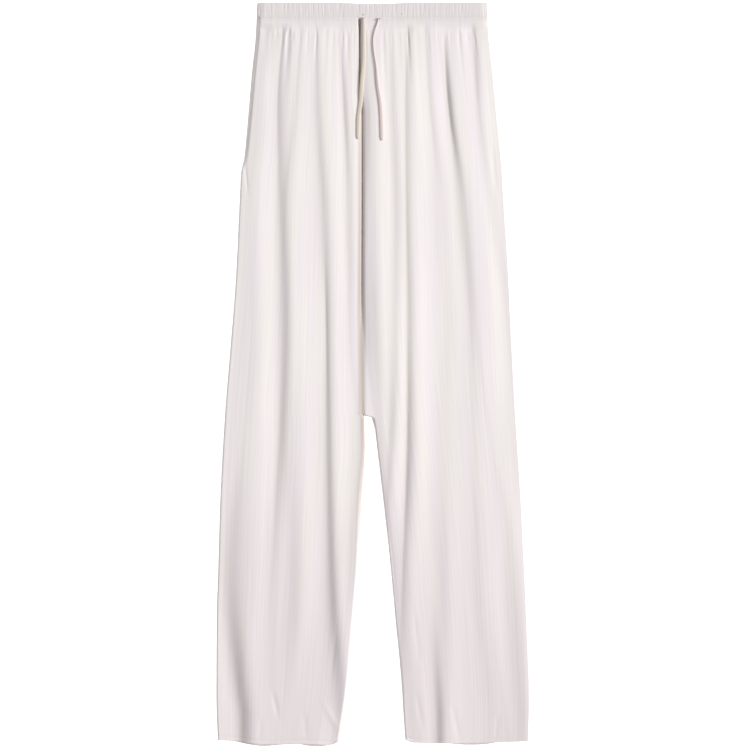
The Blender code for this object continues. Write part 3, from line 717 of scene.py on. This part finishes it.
def makeHemStitches(side):
    rng = np.random.default_rng(5)
    row = hems["corner"] - hems["stitchUp"]
    low, high = legSpan(side, row)
    across = np.arange(low + stitching["hemMargin"], high - stitching["hemMargin"], stitching["pitch"])
    downs = np.full(len(across), row)
    dropped = downs + hemDrop(side, "front", (across - low) / (high - low), downs)
    slopes = np.gradient(dropped, across)
    places = toWorld(across, dropped, hemmedHeight(side, across, downs) + stitching["hemLift"])
    turns = np.arctan(slopes) + rng.normal(0, stitching["wobble"], len(across))
    return makeStitchRow(f"hem_stitches_{side}", places, turns)


# The worked eyelets where the ties leave the casing: an upright ring of close stitches
eyelet = {"halfHigh": 3.4, "halfWide": 2.3, "stitches": 26, "above": 1.6, "lift": 0.12}


def makeEyelet(name):
    turns = np.arange(eyelet["stitches"]) * 2 * math.pi / eyelet["stitches"]
    across = ties[name]["x"][0] + eyelet["halfWide"] * np.cos(turns)
    downs = ties[name]["down"][0] - eyelet["above"] + eyelet["halfHigh"] * np.sin(turns)
    places = toWorld(across, downs, bandHeight(across, downs) + eyelet["lift"])
    return makeStitchRow(f"{name}_eyelet", places, -turns)


# Sparse dashes of the tacking inside the waist, with one bar tack
tacking = {"across": (45.5, 54.8, 65.1, 74.2, 84.6, 93.9), "down": 9.2, "barAcross": 40.8, "barDown": 16.9,
           "barSteps": (-0.7, 0, 0.7), "lift": 0.12}


def makeTacking():
    barDowns = [tacking["barDown"] + step for step in tacking["barSteps"]]
    across = np.array(tacking["across"] + (tacking["barAcross"],) * len(barDowns))
    downs = np.array([tacking["down"]] * len(tacking["across"]) + barDowns)
    places = toWorld(across, downs + band["shift"], bandHeight(across, downs) + tacking["lift"])
    return makeStitchRow("waist_tacking", places, np.zeros(len(across)))


bandStitches = makeBandStitches()
tackingStitches = makeTacking()
hemStitches = {side: makeHemStitches(side) for side in ("right", "left")}
eyelets = [makeEyelet(name) for name in tieNames]
print("stitches made")


def hexColour(text):
    values = [int(text[i:i + 2], 16) / 255 for i in (1, 3, 5)]
    return tuple(v / 12.92 if v <= 0.04045 else ((v + 0.055) / 1.055) ** 2.4 for v in values) + (1.0,)


def addNode(tree, kind, values=None, links=None, **settings):
    node = tree.nodes.new(kind)
    for key, value in settings.items():
        setattr(node, key, value)
    for key, value in (values or {}).items():
        node.inputs[key].default_value = value
    for key, source in (links or {}).items():
        tree.links.new(source, node.inputs[key])
    return node


# Polyester crepe, piece dyed ivory: a soft low sheen, with faint upright streaks of the yarn. The real
# streaks and grain are under a millimetre, and are drawn coarser so that they show. Sizes are in metres.
crepe = {
    "rosy": "#EBE1E4", "cream": "#ECE6E0", "tintWidth": 0.03, "tintLength": 0.28, "tintSpan": (0.38, 0.62),
    # The ties' two colours on the next line are the crepe darkened with painted shade
    "ivory": "#EAE6E6", "ivoryShare": 0.35, "tieCreamShade": "#DCCDB4", "tieRosyShade": "#DCC6C0",
    # The next three lines' colours are painted shade, for the lower legs, the upper waistband, the folds'
    # hollows and the crease
    "lowerLegShade": "#E0D5D8", "lowerLegSpan": (0.0, -0.42), "lowerLegShare": 0.5,
    "casing": "#D6CFD1", "casingShadeSpan": (0.487, 0.506), "casingShadeShare": 0.5,
    "fold": "#D2C3B2", "foldShadeShare": 0.6, "deepShade": "#9C8A74",
    "streakWidth": 0.0045, "streakLength": 0.2, "streakDark": 0.95, "streakBump": 0.35,
    "streakHeight": 0.0006, "grain": 0.0011, "grainBump": 0.25, "grainHeight": 0.0002,
    "roughness": 0.62, "ior": 1.45, "specular": 0.3, "sheen": 0.25, "sheenRoughness": 0.45,
}


def makeCrepe(name, strength=1.0, first="rosy", second="cream"):
    material = bpy.data.materials.new(name)
    material.use_nodes = True
    tree = material.node_tree
    shader = tree.nodes["Principled BSDF"]
    for socket, key in (("Roughness", "roughness"), ("IOR", "ior"), ("Specular IOR Level", "specular"),
                        ("Sheen Weight", "sheen"), ("Sheen Roughness", "sheenRoughness")):
        shader.inputs[socket].default_value = crepe[key]
    layout = addNode(tree, "ShaderNodeUVMap", uv_map="cloth")
    place = addNode(tree, "ShaderNodeTexCoord")
    height = addNode(tree, "ShaderNodeSeparateXYZ", links={"Vector": place.outputs["Object"]})
    # Long bands of two tints, half hidden by the ivory
    lengths = addNode(tree, "ShaderNodeMapping", links={"Vector": layout.outputs["UV"]}, values={
        "Scale": (1 / crepe["tintWidth"], 1 / crepe["tintLength"], 1)})
    clouds = addNode(tree, "ShaderNodeTexNoise", links={"Vector": lengths.outputs[0]}, values={
        "Scale": 1.0, "Detail": 2.0})
    turned = addNode(tree, "ShaderNodeMapRange", links={"Value": clouds.outputs["Fac"]}, values={
        "From Min": crepe["tintSpan"][0], "From Max": crepe["tintSpan"][1]})
    tinted = addNode(tree, "ShaderNodeMix", data_type="RGBA", links={"Factor": turned.outputs[0]}, values={
        6: hexColour(crepe[first]), 7: hexColour(crepe[second])})
    base = addNode(tree, "ShaderNodeMix", data_type="RGBA", links={6: tinted.outputs[2]}, values={
        "Factor": crepe["ivoryShare"], 7: hexColour(crepe["ivory"])})
    # Painted shade: darker towards the hems, where the light falls off, and on the waistband's gathered upper
    # part
    hemShadeWeight = addNode(tree, "ShaderNodeMapRange", links={"Value": height.outputs["Y"]}, values={
        "From Min": crepe["lowerLegSpan"][0], "From Max": crepe["lowerLegSpan"][1],
        "To Min": 0.0, "To Max": crepe["lowerLegShare"]})
    lower = addNode(tree, "ShaderNodeMix", data_type="RGBA", values={7: hexColour(crepe["lowerLegShade"])}, links={
        "Factor": hemShadeWeight.outputs[0], 6: base.outputs[2]})
    waist = addNode(tree, "ShaderNodeMapRange", links={"Value": height.outputs["Y"]}, values={
        "From Min": crepe["casingShadeSpan"][0], "From Max": crepe["casingShadeSpan"][1],
        "To Min": 0.0, "To Max": crepe["casingShadeShare"]})
    casingShaded = addNode(tree, "ShaderNodeMix", data_type="RGBA", values={7: hexColour(crepe["casing"])}, links={
        "Factor": waist.outputs[0], 6: lower.outputs[2]})
    # Upright yarn streaks
    along = addNode(tree, "ShaderNodeMapping", links={"Vector": layout.outputs["UV"]}, values={
        "Scale": (1 / crepe["streakWidth"], 1 / crepe["streakLength"], 1)})
    streaks = addNode(tree, "ShaderNodeTexNoise", links={"Vector": along.outputs[0]}, values={
        "Scale": 1.0, "Detail": 3.0, "Roughness": 0.6})
    faint = addNode(tree, "ShaderNodeMapRange", links={"Value": streaks.outputs["Fac"]}, values={
        "From Min": 0.3, "From Max": 0.7, "To Min": crepe["streakDark"], "To Max": 1.0})
    streaked = addNode(tree, "ShaderNodeMix", data_type="RGBA", blend_type="MULTIPLY", links={
        6: casingShaded.outputs[2], 7: faint.outputs[0]}, values={"Factor": 1.0})
    # Painted shade in the hollows of the folds, in the crease between the legs and on the ties' turned sides
    hollowShade = addNode(tree, "ShaderNodeAttribute", attribute_name="hollowShade")
    foldShadeWeight = addNode(tree, "ShaderNodeMath", operation="MULTIPLY", links={0: hollowShade.outputs["Fac"]}, values={
        1: crepe["foldShadeShare"]})
    foldShaded = addNode(tree, "ShaderNodeMix", data_type="RGBA", values={7: hexColour(crepe["fold"])}, links={
        "Factor": foldShadeWeight.outputs[0], 6: streaked.outputs[2]})
    crease = addNode(tree, "ShaderNodeAttribute", attribute_name="crease")
    deepShade = addNode(tree, "ShaderNodeMix", data_type="RGBA", values={7: hexColour(crepe["deepShade"])}, links={
        "Factor": crease.outputs["Fac"], 6: foldShaded.outputs[2]})
    tree.links.new(deepShade.outputs[2], shader.inputs["Base Color"])
    # The pebbled grain of the crepe over the yarn's ribs
    rib = addNode(tree, "ShaderNodeBump", links={"Height": streaks.outputs["Fac"]}, values={
        "Strength": crepe["streakBump"] * strength, "Distance": crepe["streakHeight"]})
    grain = addNode(tree, "ShaderNodeTexNoise", links={"Vector": place.outputs["Object"]}, values={
        "Scale": 1 / crepe["grain"], "Detail": 2.0})
    fine = addNode(tree, "ShaderNodeBump", links={"Height": grain.outputs["Fac"], "Normal": rib.outputs[0]},
                   values={"Strength": crepe["grainBump"] * strength, "Distance": crepe["grainHeight"]})
    tree.links.new(fine.outputs[0], shader.inputs["Normal"])
    return material


crepeCloth = makeCrepe("ivory_crepe")
for side in ("right", "left"):
    front, back = frontPanels[side], backPanels[side]
    front.data.materials.append(crepeCloth)
    back.data.materials.append(crepeCloth)
    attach(front, "root")
    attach(back, "root")
    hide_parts(f"front_panel_{side}")
    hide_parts(f"back_panel_{side}")
for piece, node, slot in ((frontBand, "waistband_front", "waistband_front_cloth"),
                          (backBand, "waistband_back", "waistband_back_cloth")):
    piece.data.materials.append(crepeCloth)
    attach(piece, "root")
    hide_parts(node)
# The ties take the crepe with painted shade, deeper than the legs
for tie, tint in zip(tiePieces, ("tieCreamShade", "tieRosyShade")):
    tie.data.materials.append(makeCrepe(f"ivory_crepe_{tint}", 0.7, tint, tint))

# Spun polyester thread, a shade deeper than the cloth: tight, faintly glossy twists
thread = {"colour": "#DDD3C8", "shade": "#C9BCAE", "twist": 0.0012, "waves": 6.3, "roughness": 0.5,
          "sheen": 0.2}


def makeThread():
    material = bpy.data.materials.new("matched_polyester_thread")
    material.use_nodes = True
    tree = material.node_tree
    shader = tree.nodes["Principled BSDF"]
    shader.inputs["Roughness"].default_value = thread["roughness"]
    shader.inputs["Sheen Weight"].default_value = thread["sheen"]
    place = addNode(tree, "ShaderNodeTexCoord")
    twist = addNode(tree, "ShaderNodeTexWave", bands_direction="DIAGONAL", links={
        "Vector": place.outputs["Object"]}, values={
        "Scale": 1 / thread["twist"] / thread["waves"], "Distortion": 1.0})
    colour = addNode(tree, "ShaderNodeMix", data_type="RGBA", links={"Factor": twist.outputs["Fac"]}, values={
        6: hexColour(thread["shade"]), 7: hexColour(thread["colour"])})
    tree.links.new(colour.outputs[2], shader.inputs["Base Color"])
    return material


threadFinish = makeThread()
for row, slot in ((bandStitches, "waistband_front_cloth"), (eyelets[0], "waistband_front_cloth"),
                  (eyelets[1], "waistband_front_cloth"), (hemStitches["right"], "front_cloth_right"),
                  (hemStitches["left"], "front_cloth_left"), (tackingStitches, "waistband_front_cloth")):
    row.data.materials.append(threadFinish)
    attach(row, "root")
print("materials set")

# White paper that glows a little so that it reads as pure white, one low sun and a soft top light
studio = {
    "floorSize": 8.0, "floorDrop": 0.0004, "paper": "#F6F6F6", "paperGlow": 0.8, "sky": 0.30,
    "keyStrength": 3.3, "keyAngle": 24, "keyElevation": 31, "keyTurn": 4,
    "topPower": 9.3, "topSize": 1.6, "topPlace": (0.1, 0.2, 2.0),
}


def makeStudio():
    bpy.ops.mesh.primitive_plane_add(size=studio["floorSize"], location=(0, 0, -studio["floorDrop"]))
    floor = bpy.context.object
    floor.name = "floor"
    paper = bpy.data.materials.new("white_paper_sweep")
    paper.use_nodes = True
    shader = paper.node_tree.nodes["Principled BSDF"]
    shader.inputs["Base Color"].default_value = hexColour(studio["paper"])
    shader.inputs["Roughness"].default_value = 0.9
    shader.inputs["Emission Color"].default_value = (1, 1, 1, 1)
    shader.inputs["Emission Strength"].default_value = studio["paperGlow"]
    floor.data.materials.append(paper)
    bpy.ops.object.light_add(type="SUN", location=(2, 0, 2))
    key = bpy.context.object
    key.data.energy = studio["keyStrength"]
    key.data.angle = math.radians(studio["keyAngle"])
    key.rotation_euler = (0, math.radians(90 - studio["keyElevation"]), math.radians(studio["keyTurn"]))
    bpy.ops.object.light_add(type="AREA", location=studio["topPlace"])
    top = bpy.context.object
    top.data.shape = "DISK"
    top.data.size = studio["topSize"]
    top.data.energy = studio["topPower"]
    world = bpy.data.worlds.new("studio")
    world.use_nodes = True
    sky = world.node_tree.nodes["Background"]
    sky.inputs["Color"].default_value = (1, 1, 1, 1)
    sky.inputs["Strength"].default_value = studio["sky"]
    scene = bpy.context.scene
    scene.world = world
    scene.view_settings.view_transform = "Standard"
    scene.view_settings.look = "None"
    scene.view_settings.exposure = 0
    scene.view_settings.gamma = 1


makeStudio()
print("studio made")
